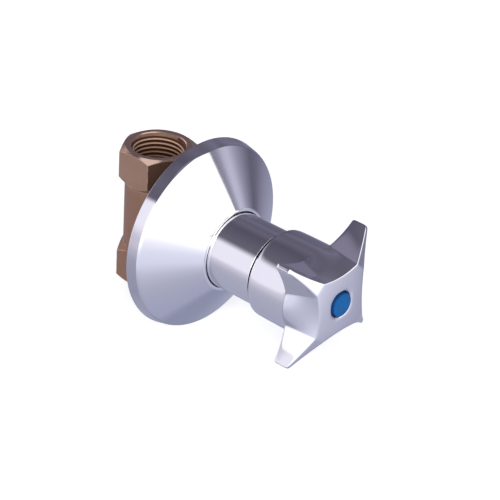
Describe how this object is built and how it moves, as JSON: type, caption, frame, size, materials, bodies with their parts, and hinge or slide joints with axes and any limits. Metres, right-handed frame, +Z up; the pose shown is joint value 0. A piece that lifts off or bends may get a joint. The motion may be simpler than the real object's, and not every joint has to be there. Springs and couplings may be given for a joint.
{
  "type": "concealed stop valve",
  "caption": "Concealed stop valve: brass body with two threaded pipe ports, screw-down headwork, chromed sleeve, round wall flange and cross-shaped handle with a blue index button.",
  "frame": {"origin": "centre of the inlet port's mouth, at the foot of the pipe axis", "axes": "+Z up the pipe axis from the inlet to the outlet, -Y along the spindle towards the handle, +X to the right seen from the handle"},
  "size_m": [0.0756, 0.1104, 0.0756],
  "materials": {
    "cast_brass": "cast and tumbled brass, brownish",
    "turned_brass": "turned brass, satin",
    "polished_chrome": "polished chrome plate",
    "black_rubber": "moulded rubber",
    "red_fibre": "pressed fibre, matt",
    "white_nylon": "natural nylon, matt",
    "spring_steel": "zinc-plated steel",
    "blue_plastic": "moulded plastic, glossy blue"
  },
  "bodies": {
    "fixed": {"valve_body": "cast_brass", "bonnet_washer": "red_fibre", "bonnet": "turned_brass", "thrust_washer": "white_nylon", "sleeve": "polished_chrome", "wall_flange": "polished_chrome", "flange_o_ring": "black_rubber"},
    "piston": {"valve_piston": "turned_brass", "seat_washer": "black_rubber", "seat_washer_nut": "turned_brass", "piston_o_ring": "black_rubber"},
    "turning": {"spindle": "turned_brass", "spindle_inner_o_ring": "black_rubber", "spindle_outer_o_ring": "black_rubber", "spindle_circlip": "spring_steel", "handle": "polished_chrome", "handle_guide_ring": "white_nylon", "handle_screw_washer": "spring_steel", "handle_screw": "spring_steel", "index_button": "blue_plastic"}
  },
  "joints": [
    {"name": "handle_turn", "type": "hinge", "parent": "fixed", "child": "turning", "pos_m": [0, 0, 0.028], "axis": [0, -1, 0], "range_deg": [0, 765]},
    {"name": "piston_lift", "type": "slide", "parent": "fixed", "child": "piston", "axis": [0, -1, 0], "range_m": [0, 0.00531]}
  ],
  "couplings": [
    {"joint": "piston_lift", "follows": "handle_turn", "m_per_rad": 0.00039789}
  ]
}
